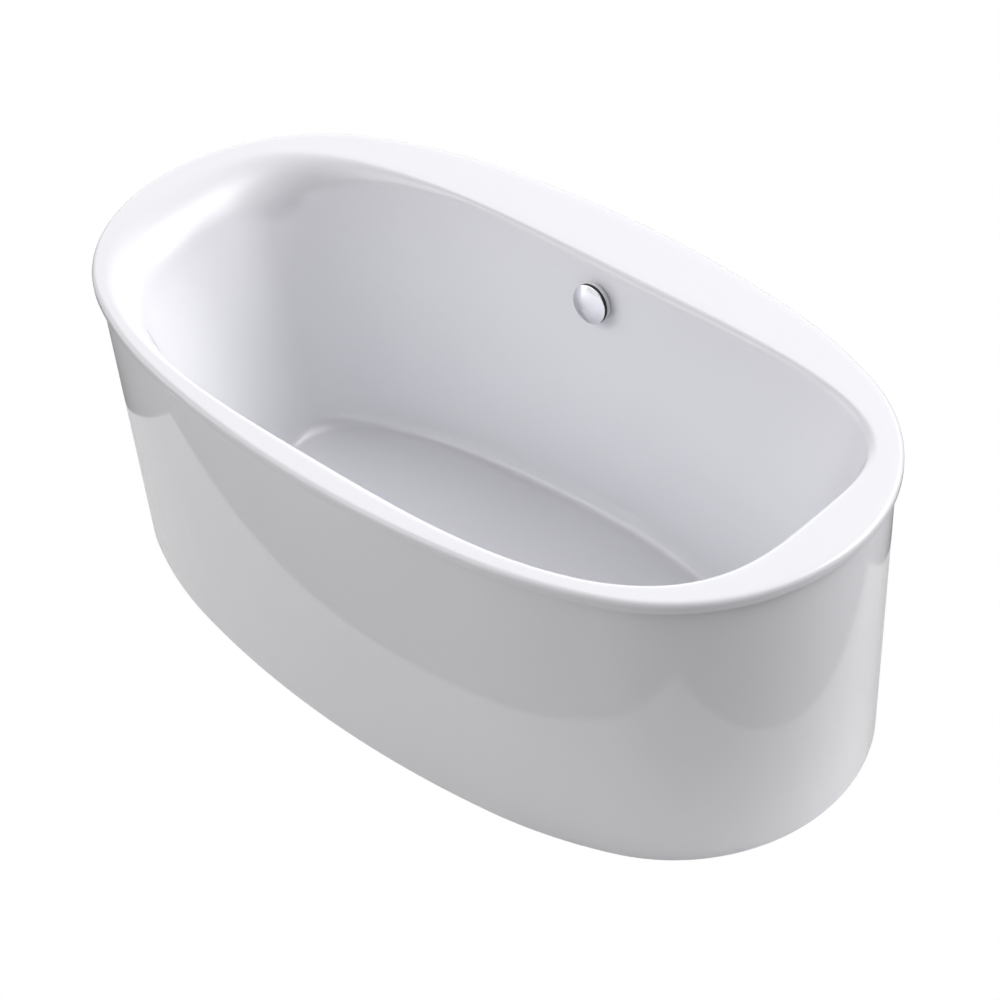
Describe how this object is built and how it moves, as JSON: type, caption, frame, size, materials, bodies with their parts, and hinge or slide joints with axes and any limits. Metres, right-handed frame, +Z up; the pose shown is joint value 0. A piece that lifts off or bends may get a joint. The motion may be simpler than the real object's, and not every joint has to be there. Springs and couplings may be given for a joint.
{
  "type": "freestanding bathtub",
  "caption": "Oval double-ended acrylic bath with a rolled rim and full skirt, off-centre basin, pop-up waste worked by a round overflow knob, on a steel frame with levelling feet.",
  "frame": {"origin": "on the floor, under the middle of the rim's oval outline", "axes": "+X along the bath towards its steep foot end, +Y towards the wide deck with the overflow, +Z up"},
  "size_m": [1.664, 0.902, 0.619],
  "materials": {
    "acrylic": "high gloss sanitary acrylic",
    "fibreglass": "rough resin and chopped glass fibre",
    "frame_steel": "powder coat over galvanised tube",
    "board": "plywood, resin sealed",
    "sealant": "neutral sanitary sealant",
    "black_plastic": "moulded glass-filled nylon",
    "grey_plastic": "moulded polypropylene",
    "white_plastic": "moulded polyethylene",
    "black_rubber": "moulded rubber, matt",
    "zinc_steel": "bright zinc plate",
    "chrome": "polished chrome plate"
  },
  "bodies": {
    "bath": {"basin_shell": "acrylic", "backing_shell": "fibreglass", "skirt": "acrylic", "skirt_stiffener": "board", "rim_bead": "sealant", "base_board": "board", "rail_near": "frame_steel", "rail_far": "frame_steel", "cross_head": "frame_steel", "cross_mid": "frame_steel", "cross_foot": "frame_steel", "tube_plugs": "black_plastic", "board_screws": "zinc_steel", "weld_nuts": "zinc_steel", "jam_nuts": "zinc_steel", "skirt_brackets": "zinc_steel", "bracket_screws": "zinc_steel", "drain_flange": "chrome", "drain_gasket": "black_rubber", "shoe_gasket": "black_rubber", "drain_shoe": "grey_plastic", "rocker_pin": "zinc_steel", "drain_pipe": "grey_plastic", "waste_tee": "grey_plastic", "tailpiece": "grey_plastic", "overflow_pipe": "grey_plastic", "slip_nuts": "black_plastic", "slip_washers": "white_plastic", "overflow_body": "grey_plastic", "rear_gasket": "black_rubber", "front_gasket": "black_rubber", "overflow_ring": "black_plastic", "control_cable": "black_plastic", "cable_glands": "black_plastic"},
    "knob": {"overflow_knob": "chrome", "knob_spindle": "zinc_steel", "knob_grub_screw": "zinc_steel", "cable_crank": "zinc_steel"},
    "stopper": {"stopper_cap": "chrome", "stopper_seal": "black_rubber", "stopper_stem": "zinc_steel"},
    "rocker": {"lift_rocker": "zinc_steel"},
    "foot_1": {"foot_1_pad": "black_plastic", "foot_1_stud": "zinc_steel"},
    "foot_2": {"foot_2_pad": "black_plastic", "foot_2_stud": "zinc_steel"},
    "foot_3": {"foot_3_pad": "black_plastic", "foot_3_stud": "zinc_steel"},
    "foot_4": {"foot_4_pad": "black_plastic", "foot_4_stud": "zinc_steel"},
    "foot_5": {"foot_5_pad": "black_plastic", "foot_5_stud": "zinc_steel"}
  },
  "joints": [
    {"name": "overflow_knob_turn", "type": "hinge", "parent": "bath", "child": "knob", "pos_m": [0.03, 0.29008, 0.544], "axis": [0, -0.9925, 0.1219], "range_deg": [0, 90]},
    {"name": "stopper_lift", "type": "slide", "parent": "bath", "child": "stopper", "axis": [0, 0, 1], "range_m": [0, 0.01]},
    {"name": "rocker_tilt", "type": "hinge", "parent": "bath", "child": "rocker", "pos_m": [0.03, -0.06, 0.048], "axis": [1, 0, 0], "range_deg": [0, 41.85]},
    {"name": "foot_1_height", "type": "slide", "parent": "bath", "child": "foot_1", "axis": [0, 0, -1], "range_m": [0, 0.015]},
    {"name": "foot_2_height", "type": "slide", "parent": "bath", "child": "foot_2", "axis": [0, 0, -1], "range_m": [0, 0.015]},
    {"name": "foot_3_height", "type": "slide", "parent": "bath", "child": "foot_3", "axis": [0, 0, -1], "range_m": [0, 0.015]},
    {"name": "foot_4_height", "type": "slide", "parent": "bath", "child": "foot_4", "axis": [0, 0, -1], "range_m": [0, 0.015]},
    {"name": "foot_5_height", "type": "slide", "parent": "bath", "child": "foot_5", "axis": [0, 0, -1], "range_m": [0, 0.015]}
  ],
  "couplings": [
    {"joint": "stopper_lift", "follows": "overflow_knob_turn", "m_per_rad": 0.0063662},
    {"joint": "rocker_tilt", "follows": "overflow_knob_turn", "ratio": 0.465}
  ]
}
